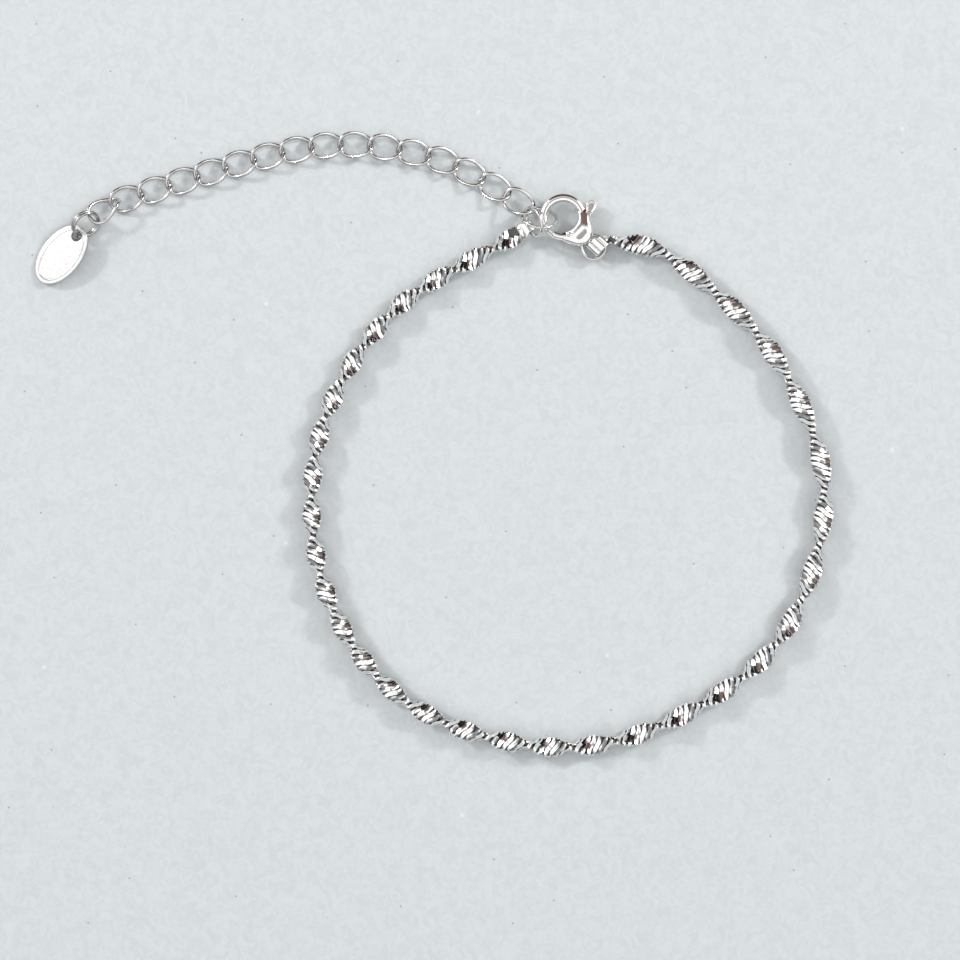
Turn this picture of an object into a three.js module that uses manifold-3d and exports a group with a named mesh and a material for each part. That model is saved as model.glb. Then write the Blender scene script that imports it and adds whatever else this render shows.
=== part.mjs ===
// A silver bracelet: a twisted serpentine chain closed by a lever clasp, with an
// extension chain of oval links and an oval tag. It lies closed and flat on the XY plane.
// Millimetres, +Z up. The exported group holds one closed mesh for each piece.

import * as THREE from 'three';
import { mergeVertices } from 'three/addons/utils/BufferGeometryUtils.js';
import Module from 'manifold-3d';

const wasm = await Module();
wasm.setup();

// ---- Driving dimensions ----------------------------------------------------------------

// The twisted chain: a flat serpentine ribbon, turned half a turn at a time.
const RIBBON = { width: 2.2, thickness: 0.86, shoulder: 0.7, ribPitch: 0.58, ribDepth: 0.12 };
const CHAIN_START = 0.75; // bare path left for the neck of each end cap
const CHAIN_END = 0.1;
const CHAIN_PATH = [
  { x: 18.5, y: 21.6 }, { x: 25.7, y: 19.3 }, { x: 36.4, y: 8.8 }, { x: 41.3, y: -5.5 },
  { x: 36.3, y: -20.8 }, { x: 22.7, y: -30.0 }, { x: 9.4, y: -31.3 }, { x: -3.7, y: -26.0 },
  { x: -11.3, y: -14.2 }, { x: -11.6, y: 0.7 }, { x: -4.1, y: 13.7 }, { x: 9.4, y: 22.2 },
];
// How many half turns the ribbon has made at a length along the path. It lies flat at each.
const TWIST = [
  { at: 0, halfTurns: -0.6 }, { at: 3.6, halfTurns: 0 }, { at: 27.6, halfTurns: 4 },
  { at: 34.1, halfTurns: 5 }, { at: 51.7, halfTurns: 8 }, { at: 76.7, halfTurns: 13 },
  { at: 99.2, halfTurns: 18 }, { at: 123.9, halfTurns: 24 }, { at: 145.0, halfTurns: 29 },
  { at: 153.3, halfTurns: 31 }, { at: 158.3, halfTurns: 32 }, { at: 160, halfTurns: 32.34 },
];

// The extension chain: sixteen oval links, each turned a little about its length.
const LINK = { length: 3.92, width: 2.9, wire: 0.36, turn: 0.42, steps: 16, sides: 6 };
const LINK_COUNT = 16;
const LINK_REST_HEIGHT = 0.61;
const EXTENSION_PATH = [
  { x: -34.1, y: 24.7 }, { x: -32.2, y: 25.7 }, { x: -12.7, y: 31.2 },
  { x: 0.1, y: 30.2 }, { x: 9.5, y: 25.48 },
];

// The links that the rings hold off the floor.
const LIFTED_LINKS = {
  1: { x: -34.078, y: 24.7, z: 1.09, heading: 33.2, pitch: 4.2, roll: -28.8 },
  15: { z: 0.72, pitch: -5 },
  16: { x: 9.323, y: 25.351, z: 1.343, heading: -32.9, pitch: -14.5, roll: -9.9 },
};

// The lever clasp, in its own frame: +X to the tail, +Y to the thumb tab, hoop at the origin.
const CLASP = { x: 13.965, y: 23.867, z: 1.05, turn: -42.58 };
const HOOP = { mean: 1.94, hole: 1.52, halfWidth: 0.42, halfHeight: 0.58, sides: 8 };
const BODY = { thickness: 2.0, bevel: 0.35 };
const SLOT_HEIGHT = 0.9;
const TAIL_HOLE = { x: 3.21, radius: 0.45 };
const LEVER = { x: 1.75, y: -1.0, pin: 0.2, hole: 0.27, thickness: 0.7, reach: 2.66, gap: 0.07 };

// The rings. Each lies in a plane tipped by `tilt` about a level line at `heading` degrees.
const RING_SIDES = 8;
const RING_STEPS = 20;
const RINGS = {
  tag_ring: { x: -36.116, y: 23.081, z: 1.243, heading: 41.3, tilt: 50.4, mean: 1.3, wire: 0.46 },
  extension_ring: { x: 10.873, y: 23.218, z: 2.415, heading: -72.1, tilt: 65.3, mean: 1.55, wire: 0.36 },
  hook_ring: { x: 11.453, y: 23.719, z: 1.627, heading: -8.3, tilt: 128.6, mean: 1.85, wire: 0.36 },
  clasp_ring: { x: 17.14, y: 20.75, z: 1.05, heading: 0, tilt: 0, mean: 1.24, wire: 0.38 },
};

// The end caps: a strip folded round a ring, its ends closed on the chain.
const SHEET = 0.2;
const CAP_GAP = 0.05; // between a cap's neck and the ribbon's end
const LEFT_CAP = {
  x: 10.34, y: 22.788, heading: 32, flap: 0.75, rise: 0.5, closed: 0.25,
  fold: { low: -0.5, high: 0.5 }, root: { low: -0.9, high: 0.9 },
};
const RIGHT_CAP = {
  x: 17.565, y: 20.898, flap: 1.25, rise: 0.5, closed: 0.36,
  fold: { low: -0.62, high: 0.62 }, root: { low: -0.66, high: 0.96 },
};

// The tag: an oval plate with one hole.
const TAG = {
  x: -38.61, y: 19.94, z: 0.779, heading: 55, tilt: 10.2, raise: 7.3, length: 7.2, width: 4.4, thickness: 0.38,
};
const TAG_HOLE = { fromTip: 1.02, radius: 0.56 };

// ---- Materials -------------------------------------------------------------------------

const silver = new THREE.MeshStandardMaterial({ color: 0xdcdcde, roughness: 0.12, metalness: 1 });
const ribbonSilver = new THREE.MeshStandardMaterial({ color: 0xe2e1e0, roughness: 0.16, metalness: 1 });
const tagSilver = new THREE.MeshStandardMaterial({ color: 0xf0f0f2, roughness: 0.2, metalness: 1 });

// ---- Small geometry helpers ------------------------------------------------------------

const UP = new THREE.Vector3(0, 0, 1);
const degrees = THREE.MathUtils.degToRad;

// A closed surface from a row of rings, all with the same number of points, seen
// anticlockwise from ahead. It is capped at both ends, or joined end to end.
function loft(rings, joined = false) {
  const count = rings[0].length;
  const positions = rings.flat().flatMap((p) => [p.x, p.y, p.z]);
  const index = [];
  const spans = joined ? rings.length : rings.length - 1;
  for (let i = 0; i < spans; i++) {
    const here = i * count;
    const next = ((i + 1) % rings.length) * count;
    for (let j = 0; j < count; j++) {
      const k = (j + 1) % count;
      index.push(here + j, here + k, next + k, here + j, next + k, next + j);
    }
  }
  if (!joined) {
    const last = (rings.length - 1) * count;
    for (let j = 1; j < count - 1; j++) {
      index.push(0, j + 1, j);
      index.push(last, last + j, last + j + 1);
    }
  }
  const geometry = new THREE.BufferGeometry();
  geometry.setAttribute('position', new THREE.Float32BufferAttribute(positions, 3));
  geometry.setIndex(index);
  return geometry;
}

// The point of a section that lies `across` and `out` from its centre.
function offset(centre, acrossAxis, across, outAxis, out) {
  return centre.clone().addScaledVector(acrossAxis, across).addScaledVector(outAxis, out);
}

// A round wire bent into a closed loop about the origin.
function wireLoop(pointAt, wire, steps, sides) {
  const centres = Array.from({ length: steps }, (_, i) => pointAt((i / steps) * 2 * Math.PI));
  const rings = centres.map((centre, i) => {
    const ahead = centres[(i + 1) % steps];
    const behind = centres[(i + steps - 1) % steps];
    const along = ahead.clone().sub(behind).normalize();
    const outward = centre.clone().addScaledVector(along, -centre.dot(along)).normalize();
    const side = along.clone().cross(outward);
    return Array.from({ length: sides }, (_, j) => {
      const turn = ((j + 0.5) / sides) * 2 * Math.PI;
      return offset(centre, outward, (wire / 2) * Math.cos(turn), side, (wire / 2) * Math.sin(turn));
    });
  });
  return loft(rings, true);
}

function toManifold(geometry) {
  const bare = geometry.clone();
  bare.deleteAttribute('normal');
  bare.deleteAttribute('uv');
  const merged = mergeVertices(bare, 1e-4);
  const vertProperties = new Float32Array(merged.attributes.position.array);
  const triVerts = new Uint32Array(merged.index.array);
  return new wasm.Manifold(new wasm.Mesh({ numProp: 3, vertProperties, triVerts }));
}

function toGeometry(manifold) {
  const { vertProperties, triVerts } = manifold.getMesh();
  const geometry = new THREE.BufferGeometry();
  geometry.setAttribute('position', new THREE.BufferAttribute(vertProperties, 3));
  geometry.setIndex(new THREE.BufferAttribute(triVerts, 1));
  return geometry;
}

// A plate of the given outline, its middle plane at z = 0, with its edges cut back.
function plate(shape, thickness, bevel, curveSegments = 12) {
  const geometry = new THREE.ExtrudeGeometry(shape, {
    depth: thickness - 2 * bevel,
    bevelEnabled: bevel > 0,
    bevelThickness: bevel,
    bevelSize: bevel,
    bevelOffset: -bevel,
    bevelSegments: 2,
    curveSegments,
  });
  geometry.translate(0, 0, bevel - thickness / 2);
  return geometry;
}

function outline(points) {
  return new THREE.Shape(points.map(([x, y]) => new THREE.Vector2(x, y)));
}

function rod(radius, length, sides) {
  return new THREE.CylinderGeometry(radius, radius, length, sides).rotateX(Math.PI / 2);
}

function smoothPath(rows) {
  const points = rows.map((row) => new THREE.Vector3(row.x, row.y, 0));
  const path = new THREE.CatmullRomCurve3(points, false, 'catmullrom', 0.5);
  path.arcLengthDivisions = 2000;
  return path;
}

function namedMesh(name, geometry, material) {
  const mesh = new THREE.Mesh(geometry, material);
  mesh.name = name;
  return mesh;
}

// ---- Twisted chain ---------------------------------------------------------------------

const chainPath = smoothPath(CHAIN_PATH);
const chainLength = chainPath.getLength();

// The ribbon's turn about its path, in radians: 0 where its face looks straight up.
function twistAt(length) {
  const next = TWIST.findIndex((row) => row.at >= length);
  const to = TWIST[Math.max(next, 1)];
  const from = TWIST[Math.max(next, 1) - 1];
  const share = (length - from.at) / (to.at - from.at);
  return Math.PI * (from.halfTurns + share * (to.halfTurns - from.halfTurns));
}

// The ribbon's own axes at a length along the path: across its face and through it.
function ribbonFrame(length) {
  const share = length / chainLength;
  const centre = chainPath.getPointAt(share).setZ(RIBBON.width / 2);
  const along = chainPath.getTangentAt(share);
  const left = UP.clone().cross(along);
  const twist = twistAt(length);
  const across = offset(new THREE.Vector3(), left, Math.cos(twist), UP, Math.sin(twist));
  const through = offset(new THREE.Vector3(), left, -Math.sin(twist), UP, Math.cos(twist));
  return { centre, along, across, through };
}

// The serpentine's ribs: the ribbon's section swells at each rib and shrinks between them.
function twistedChain() {
  const halfWidth = RIBBON.width / 2;
  const halfThickness = RIBBON.thickness / 2;
  const section = [
    [1, 0], [RIBBON.shoulder, 1], [-RIBBON.shoulder, 1],
    [-1, 0], [-RIBBON.shoulder, -1], [RIBBON.shoulder, -1],
  ];
  const length = chainLength - CHAIN_START - CHAIN_END;
  const ribs = Math.round(length / RIBBON.ribPitch);
  const sections = Array.from({ length: 2 * ribs + 1 }, (_, i) => {
    const frame = ribbonFrame(CHAIN_START + (length * i) / (2 * ribs));
    const cut = i % 2 === 0 ? RIBBON.ribDepth : 0;
    return section.map(([across, through]) => offset(
      frame.centre,
      frame.across, across * (halfWidth - cut),
      frame.through, through * (halfThickness - cut),
    ));
  });
  return namedMesh('twisted_chain', loft(sections), ribbonSilver);
}

// ---- Extension chain -------------------------------------------------------------------

function linkGeometry() {
  const halfLength = (LINK.length - LINK.wire) / 2;
  const halfWidth = (LINK.width - LINK.wire) / 2;
  const pointAt = (turn) => new THREE.Vector3(
    halfLength * Math.cos(turn), halfWidth * Math.sin(turn), -LINK.turn * Math.sin(2 * turn),
  );
  return wireLoop(pointAt, LINK.wire, LINK.steps, LINK.sides);
}

// A link that lies flat on the path, `share` of the way along it.
function levelLink(path, share) {
  const place = path.getPointAt(share);
  const along = path.getTangentAt(share);
  const heading = THREE.MathUtils.radToDeg(Math.atan2(along.y, along.x));
  return { x: place.x, y: place.y, z: LINK_REST_HEIGHT, heading, pitch: 0, roll: 0 };
}

function extensionLink(number, path) {
  const level = levelLink(path, (number - 1) / (LINK_COUNT - 1));
  const { x, y, z, heading, pitch, roll } = { ...level, ...LIFTED_LINKS[number] };
  const mesh = namedMesh(`extension_link_${String(number).padStart(2, '0')}`, linkGeometry(), silver);
  mesh.position.set(x, y, z);
  mesh.rotation.set(degrees(roll), degrees(pitch), degrees(heading), 'ZYX');
  return mesh;
}

// ---- Rings -----------------------------------------------------------------------------

function ring(name, { x, y, z, heading, tilt, mean, wire }) {
  const mesh = namedMesh(name, new THREE.TorusGeometry(mean, wire / 2, RING_SIDES, RING_STEPS), silver);
  const level = new THREE.Vector3(Math.cos(degrees(heading)), Math.sin(degrees(heading)), 0);
  mesh.position.set(x, y, z);
  mesh.quaternion.setFromAxisAngle(level, degrees(tilt));
  return mesh;
}

// ---- Tag -------------------------------------------------------------------------------

function tag() {
  const shape = new THREE.Shape();
  shape.absellipse(0, 0, TAG.length / 2, TAG.width / 2, 0, 2 * Math.PI);
  const hole = new THREE.Path();
  hole.absarc(TAG.length / 2 - TAG_HOLE.fromTip, 0, TAG_HOLE.radius, 0, 2 * Math.PI, true);
  shape.holes.push(hole);
  const mesh = namedMesh('tag', plate(shape, TAG.thickness, 0, 18), tagSilver);
  mesh.position.set(TAG.x, TAG.y, TAG.z);
  mesh.rotation.set(degrees(-TAG.tilt), degrees(-TAG.raise), degrees(TAG.heading), 'ZXY');
  return mesh;
}

// ---- Clasp -----------------------------------------------------------------------------

// A stretch of the hoop's wire, from one angle to another, with an oval section.
function hoopArc(fromAngle, toAngle, halfWidth, halfHeight) {
  const steps = Math.ceil((toAngle - fromAngle) / 15);
  const rings = Array.from({ length: steps + 1 }, (_, i) => {
    const angle = degrees(fromAngle + ((toAngle - fromAngle) * i) / steps);
    const outward = new THREE.Vector3(Math.cos(angle), Math.sin(angle), 0);
    const centre = outward.clone().multiplyScalar(HOOP.mean);
    return Array.from({ length: HOOP.sides }, (_, j) => {
      const turn = -((j + 0.5) / HOOP.sides) * 2 * Math.PI;
      return offset(centre, outward, halfWidth * Math.cos(turn), UP, halfHeight * Math.sin(turn));
    });
  });
  return loft(rings);
}

// The round that the gate's end sweeps about the pin.
function gateSweep(radius) {
  return toManifold(rod(radius, 4, 48).translate(LEVER.x, LEVER.y, 0));
}

// The teardrop body and fixed hook, slotted for the lever, bored across the tail for its
// ring, with the lever's pin riveted through both cheeks.
function claspBody() {
  const shape = outline([
    [1.18, 2.04], [1.8, 1.74], [2.4, 1.36], [2.9, 0.92], [3.35, 0.58], [3.72, 0.34], [3.87, 0],
    [3.72, -0.34], [3.35, -0.58], [2.9, -0.98], [2.4, -1.5], [1.8, -1.86], [1.18, -2.04],
  ]);
  shape.lineTo(HOOP.hole * Math.cos(degrees(-62)), HOOP.hole * Math.sin(degrees(-62)));
  shape.absarc(0, 0, HOOP.hole, degrees(-62), degrees(62), false);
  const slotShape = outline([
    [-0.6, -3.2], [2.0, -3.2], [2.6, -1.6], [2.95, -0.2], [3.0, 1.2], [3.0, 3.6], [1.15, 3.6], [1.15, -0.6],
  ]);
  const slot = toManifold(plate(slotShape, SLOT_HEIGHT, 0));
  const tailHole = toManifold(
    new THREE.CylinderGeometry(TAIL_HOLE.radius, TAIL_HOLE.radius, 3, 12).translate(TAIL_HOLE.x, 0, 0),
  );
  const pin = toManifold(rod(LEVER.pin, BODY.thickness - 0.1, 12).translate(LEVER.x, LEVER.y, 0));
  const arm = toManifold(hoopArc(48, 182, HOOP.halfWidth, HOOP.halfHeight));
  const beak = toManifold(hoopArc(180, 255, HOOP.halfWidth * 0.98, HOOP.halfHeight * 0.98))
    .subtract(gateSweep(LEVER.reach + LEVER.gap));
  const solid = toManifold(plate(shape, BODY.thickness, BODY.bevel, 8))
    .add(arm).subtract(slot).subtract(tailHole).add(beak).add(pin);
  return namedMesh('clasp_body', toGeometry(solid), silver);
}

// The lever: the gate that closes the hoop, the arm through the body, and the thumb tab.
function claspLever() {
  const shape = outline([
    [0.35, -2.25], [0.95, -2.12], [1.55, -1.72], [2.2, -1.35], [2.38, -0.8], [2.4, 0.3], [2.2, 1.3],
    [2.12, 2.2], [2.25, 2.85], [2.05, 3.27], [1.7, 3.4], [1.35, 3.22], [1.2, 2.8],
    [1.42, 2.1], [1.62, 1.3], [1.76, 0.5], [1.74, -0.1], [1.5, -0.75], [1.12, -1.2], [0.75, -1.46], [0.35, -1.6],
  ]);
  const pinHole = new THREE.Path();
  pinHole.absarc(LEVER.x, LEVER.y, LEVER.hole, 0, 2 * Math.PI, true);
  shape.holes.push(pinHole);
  const gate = toManifold(hoopArc(222, 284, HOOP.halfWidth * 0.92, 0.4)).intersect(gateSweep(LEVER.reach));
  const solid = toManifold(plate(shape, LEVER.thickness, 0, 6)).add(gate);
  return namedMesh('clasp_lever', toGeometry(solid), silver);
}

function clasp() {
  const group = new THREE.Group();
  group.position.set(CLASP.x, CLASP.y, CLASP.z);
  group.rotation.z = degrees(CLASP.turn);
  group.add(claspBody(), claspLever());
  return group;
}

// ---- End caps --------------------------------------------------------------------------

// A strip folded in a U, in its own frame: the fold line along X with the ring's wire at
// the origin, both flaps running to +Y. `rows` gives the flaps' edges along X.
function foldedStrip({ flap, rise, closed, fold, root }) {
  const half = SHEET / 2;
  const rows = [{ y: flap, z: -closed, ...root }, { y: 0, z: -rise, ...fold }];
  for (let angle = -120; angle >= -240; angle -= 30) {
    rows.push({ y: rise * Math.cos(degrees(angle)), z: rise * Math.sin(degrees(angle)), ...fold });
  }
  rows.push({ y: 0, z: rise, ...fold }, { y: flap, z: closed, ...root });
  const rings = rows.map((row, i) => {
    const ahead = rows[Math.min(i + 1, rows.length - 1)];
    const behind = rows[Math.max(i - 1, 0)];
    const along = new THREE.Vector3(0, ahead.y - behind.y, ahead.z - behind.z).normalize();
    const normal = new THREE.Vector3(0, -along.z, along.y);
    const corners = [[row.low, -half], [row.low, half], [row.high, half], [row.high, -half]];
    return corners.map(([x, out]) => new THREE.Vector3(x, row.y, row.z).addScaledVector(normal, out));
  });
  return toManifold(loft(rings));
}

// The neck that closes the flaps on the chain: from the strip's root to the ribbon's end.
function neck(from, to) {
  const steps = 4;
  const rings = Array.from({ length: steps + 1 }, (_, i) => {
    const share = i / steps;
    return from.map((corner, j) => corner.clone().lerp(to[j], share));
  });
  return toManifold(loft(rings));
}

// The four corners of a flat bar's end, anticlockwise seen from ahead.
function barEnd(centre, across, halfWidth, through, halfThickness) {
  return [[1, -1], [1, 1], [-1, 1], [-1, -1]].map(([a, b]) => offset(
    centre, across, a * halfWidth, through, b * halfThickness,
  ));
}

// An end cap. `place` puts the folded strip's frame in the bracelet's, and `chainEnd` is
// the ribbon's frame where the neck grips it. `outward` is 1 where the chain runs to the cap.
function endCap(name, strip, place, chainEnd, outward) {
  const folded = foldedStrip(strip).transform(place.elements);
  const middle = (strip.root.low + strip.root.high) / 2;
  const rootCentre = new THREE.Vector3(middle, strip.flap - 0.1, 0).applyMatrix4(place);
  const gripCentre = offset(chainEnd.centre, chainEnd.along, outward * CAP_GAP, UP, 0);
  const rootAcross = new THREE.Vector3(-1, 0, 0).transformDirection(place);
  const rootHalfWidth = (strip.root.high - strip.root.low) / 2 - 0.05;
  const side = rootAcross.dot(chainEnd.across) < 0 ? -1 : 1;
  const gripAcross = chainEnd.across.clone().multiplyScalar(side);
  const gripThrough = chainEnd.through.clone().multiplyScalar(-outward * side);
  const root = barEnd(rootCentre, rootAcross, rootHalfWidth, UP, strip.closed + SHEET / 2);
  const grip = barEnd(
    gripCentre, gripAcross, RIBBON.width / 2 - 0.1, gripThrough, RIBBON.thickness / 2,
  );
  return namedMesh(name, toGeometry(folded.add(neck(root, grip))), silver);
}

function leftCap() {
  const place = new THREE.Matrix4().makeRotationZ(degrees(LEFT_CAP.heading + 90));
  place.setPosition(LEFT_CAP.x, LEFT_CAP.y, RIBBON.width / 2);
  return endCap('end_cap_left', LEFT_CAP, place, ribbonFrame(chainLength - CHAIN_END), 1);
}

function rightCap() {
  const start = ribbonFrame(CHAIN_START);
  const place = new THREE.Matrix4().makeRotationZ(degrees(CLASP.turn));
  place.setPosition(RIGHT_CAP.x, RIGHT_CAP.y, CLASP.z);
  return endCap('end_cap_right', RIGHT_CAP, place, start, -1);
}

// ---- Assembly --------------------------------------------------------------------------

const bracelet = new THREE.Group();
const extensionPath = smoothPath(EXTENSION_PATH);
bracelet.add(twistedChain(), leftCap(), rightCap(), clasp(), tag());
for (let number = 1; number <= LINK_COUNT; number++) {
  bracelet.add(extensionLink(number, extensionPath));
}
for (const [name, sizes] of Object.entries(RINGS)) {
  bracelet.add(ring(name, sizes));
}

// The origin lies on the floor, in the middle of the finished bracelet's footprint.
const extent = new THREE.Box3().setFromObject(bracelet, true);
const middle = extent.getCenter(new THREE.Vector3());
bracelet.position.set(-middle.x, -middle.y, -extent.min.z);
bracelet.updateMatrixWorld(true);

export default bracelet;
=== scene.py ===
# A silver bracelet: a twisted serpentine chain closed by a lever clasp, with an extension
# chain of oval links and an oval tag. It lies closed and flat on a pale floor.
# The file follows the bracelet as it is put together. Each piece is modelled in
# millimetres, in the same working frame as its CAD solid, and placed in metres at the end.
import math

import bmesh
import bpy
from mathutils import Matrix, Vector


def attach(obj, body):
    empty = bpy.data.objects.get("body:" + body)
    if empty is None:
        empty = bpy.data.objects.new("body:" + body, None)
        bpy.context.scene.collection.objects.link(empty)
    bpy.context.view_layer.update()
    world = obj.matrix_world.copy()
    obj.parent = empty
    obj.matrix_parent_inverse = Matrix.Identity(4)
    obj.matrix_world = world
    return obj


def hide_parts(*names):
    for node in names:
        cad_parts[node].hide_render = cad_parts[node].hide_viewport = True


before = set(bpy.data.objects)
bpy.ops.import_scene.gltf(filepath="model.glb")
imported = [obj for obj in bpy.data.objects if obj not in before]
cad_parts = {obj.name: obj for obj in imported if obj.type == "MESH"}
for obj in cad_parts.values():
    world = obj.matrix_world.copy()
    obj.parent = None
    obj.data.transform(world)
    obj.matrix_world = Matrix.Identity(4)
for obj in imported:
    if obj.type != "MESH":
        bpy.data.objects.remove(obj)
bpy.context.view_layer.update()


# ---- Twisted chain --------------------------------------------------------------------
# A serpentine ribbon of flattened silver wire, about 160 mm long. Its loops stand in two
# columns, half a loop apart, each going round its own edge of the ribbon. The finished
# ribbon is twisted to the right about its own length.
CHAIN_HALF_WIDTH = 1.1
CHAIN_HALF_THICKNESS = 0.43
CHAIN_START = 0.22  # bare path left for the right end cap's neck
CHAIN_END = 0.1  # the same for the left end cap's
CHAIN_CORNERS = [
    (18.5, 21.6), (25.7, 19.3), (36.4, 8.8), (41.3, -5.5), (36.3, -20.8), (22.7, -30.0),
    (9.4, -31.3), (-3.7, -26.0), (-11.3, -14.2), (-11.6, 0.7), (-4.1, 13.7), (9.4, 22.2),
]
CHAIN_TWIST = [  # length along the path, half turns made there
    (0, -0.6), (3.6, 0), (27.6, 4), (34.1, 5), (51.7, 8), (76.7, 13), (99.2, 18),
    (123.9, 24), (145.0, 29), (153.3, 31), (158.3, 32), (160, 32.34),
]
LOOP_PITCH = 0.55
LOOP_WIDTH = 0.44  # along the ribbon
LOOP_THICKNESS = 0.28
LOOP_REACH = 1.15  # the loops' bends stand a little proud of the ribbon
LOOP_LEAN = 16  # degrees from square across the ribbon
LOOP_THINNING = 0.34  # share of its section that the wire loses at the bend
LOOP_CLIMB = 0.12  # half of what a loop climbs as it goes round the ribbon's edge
LOOP_JOG = 0.3  # how far the columns are out of step at the middle of the ribbon
LOOP_CROSSING = 0.34  # how near the middle of the ribbon the wire starts to cross over
LOOP_ROUNDNESS = 0.3  # 1 would be a round bend, and less is squarer
LOOP_STATIONS = 9  # sections along the wire of one loop
LOOP_UNEVENNESS = 2  # degrees
LOOP_SECTION = [  # shares of the wire's thickness, outwards, and of its width
    (0.5, 0.46), (0.5, 0.05), (0.34, 0.0), (0.5, -0.05), (0.5, -0.46), (-0.5, -0.5),
    (-0.5, 0.5),
]
LOOP_GRIP = 0.35  # from the chain's end to the middle of its first loop
FILM_PATCHES = 260  # patches of tarnish in a metre
FILM_TONE = (0.86, 0.8, 0.76)  # shares of the silver's own colour
SCRATCHES = (2200, 9000, 2200)  # in a metre, close together across the way it is wiped
SCRATCH_HEIGHT = 0.00002
UP = Vector((0, 0, 1))
# The row frame's origin in the working frame, in millimetres.
ROW_ORIGIN = Vector((0.4976, 0.0943, -0.0018))
TO_ROW_FRAME = Matrix.Scale(0.001, 4) @ Matrix.Translation(-ROW_ORIGIN)


def smooth_path(corners, steps=60):
    """Points of the smooth curve through the corners, with their lengths along it."""
    knots = [Vector((x, y, 0)) for x, y in corners]
    knots.insert(0, 2 * knots[0] - knots[1])
    knots.append(2 * knots[-1] - knots[-2])
    points = []
    for i in range(1, len(knots) - 2):
        before, start, end, after = knots[i - 1:i + 3]
        start_pull = (end - before) / 2
        end_pull = (after - start) / 2
        for step in range(steps):
            t = step / steps
            points.append(
                start * (2 * t**3 - 3 * t**2 + 1) + start_pull * (t**3 - 2 * t**2 + t)
                + end * (3 * t**2 - 2 * t**3) + end_pull * (t**3 - t**2)
            )
    points.append(knots[-2])
    lengths = [0.0]
    for here, ahead in zip(points, points[1:]):
        lengths.append(lengths[-1] + (ahead - here).length)
    return points, lengths


def along_path(path, length):
    """The point at a length along the path, and the way the path runs there."""
    points, lengths = path
    i = next((k for k, reached in enumerate(lengths) if reached > length), len(lengths) - 1)
    share = (length - lengths[i - 1]) / (lengths[i] - lengths[i - 1])
    return points[i - 1].lerp(points[i], share), (points[i] - points[i - 1]).normalized()


def turn_at(length):
    """The ribbon's twist at a length along its path, in radians from lying flat."""
    for (start, before), (end, after) in zip(CHAIN_TWIST, CHAIN_TWIST[1:]):
        if length <= end:
            break
    return math.pi * (before + (after - before) * (length - start) / (end - start))


def ribbon_frame(path, length):
    """The ribbon's middle, and its axes along it, across its face and through it."""
    centre, along = along_path(path, length)
    centre.z = CHAIN_HALF_WIDTH
    left = UP.cross(along)
    turn = turn_at(length)
    across = left * math.cos(turn) + UP * math.sin(turn)
    through = UP * math.cos(turn) - left * math.sin(turn)
    return centre, along, across, through


def add_node(tree, kind, sockets, **settings):
    """A new node. Each socket gets a value, or a link from another node's output."""
    node = tree.nodes.new(kind)
    for setting, value in settings.items():
        setattr(node, setting, value)
    for name, value in sockets.items():
        if isinstance(value, bpy.types.NodeSocket):
            tree.links.new(value, node.inputs[name])
        else:
            node.inputs[name].default_value = value
    return node


def calc(tree, operation, *values):
    """The output of a Math node on its numbers."""
    node = add_node(tree, "ShaderNodeMath", dict(enumerate(values)), operation=operation)
    return node.outputs[0]


def calc_vector(tree, operation, *values):
    """The output of a Vector Math node on its vectors."""
    node = add_node(tree, "ShaderNodeVectorMath", dict(enumerate(values)), operation=operation)
    return node.outputs[0]


def polished_silver(name, tone, roughness, scratch_depth, tarnish):
    """Polished silver: fine wiping scratches, and a warmer, darker film in patches."""
    material = bpy.data.materials.new(name)
    material.use_nodes = True
    tree = material.node_tree
    shader = tree.nodes["Principled BSDF"]
    shader.inputs["Metallic"].default_value = 1.0
    place = add_node(tree, "ShaderNodeTexCoord", {}).outputs["Object"]
    patches = add_node(tree, "ShaderNodeTexNoise", {
        "Vector": place, "Scale": FILM_PATCHES, "Detail": 3,
    })
    film = add_node(tree, "ShaderNodeMapRange", {
        "Value": patches.outputs["Fac"], "From Min": 0.45, "From Max": 0.75,
        "To Min": 0.0, "To Max": tarnish,
    })
    colour = add_node(tree, "ShaderNodeMix", {
        "Factor": film.outputs["Result"], 6: (*tone, 1),
        7: (*(part * share for part, share in zip(tone, FILM_TONE)), 1),
    }, data_type="RGBA")
    tree.links.new(colour.outputs[2], shader.inputs["Base Color"])
    wiped = add_node(tree, "ShaderNodeMapping", {"Vector": place, "Scale": SCRATCHES})
    scratches = add_node(tree, "ShaderNodeTexNoise", {
        "Vector": wiped.outputs["Vector"], "Scale": 1.0, "Detail": 4, "Roughness": 0.6,
    })
    gloss = add_node(tree, "ShaderNodeMapRange", {
        "Value": scratches.outputs["Fac"], "From Min": 0.3, "From Max": 0.7,
        "To Min": roughness * 0.7, "To Max": roughness * 1.4,
    })
    tree.links.new(gloss.outputs["Result"], shader.inputs["Roughness"])
    bump = add_node(tree, "ShaderNodeBump", {
        "Height": scratches.outputs["Fac"], "Strength": scratch_depth,
        "Distance": SCRATCH_HEIGHT,
    })
    tree.links.new(bump.outputs["Normal"], shader.inputs["Normal"])
    return material


def finished_mesh(source):
    """A plain mesh of the object with its modifiers applied, and the object removed."""
    graph = bpy.context.evaluated_depsgraph_get()
    mesh = bpy.data.meshes.new_from_object(source.evaluated_get(graph), depsgraph=graph)
    bpy.data.objects.remove(source)
    return mesh


def shown_object(name, mesh):
    """A new object in the scene, at the origin."""
    piece = bpy.data.objects.new(name, mesh)
    bpy.context.collection.objects.link(piece)
    return piece


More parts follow.
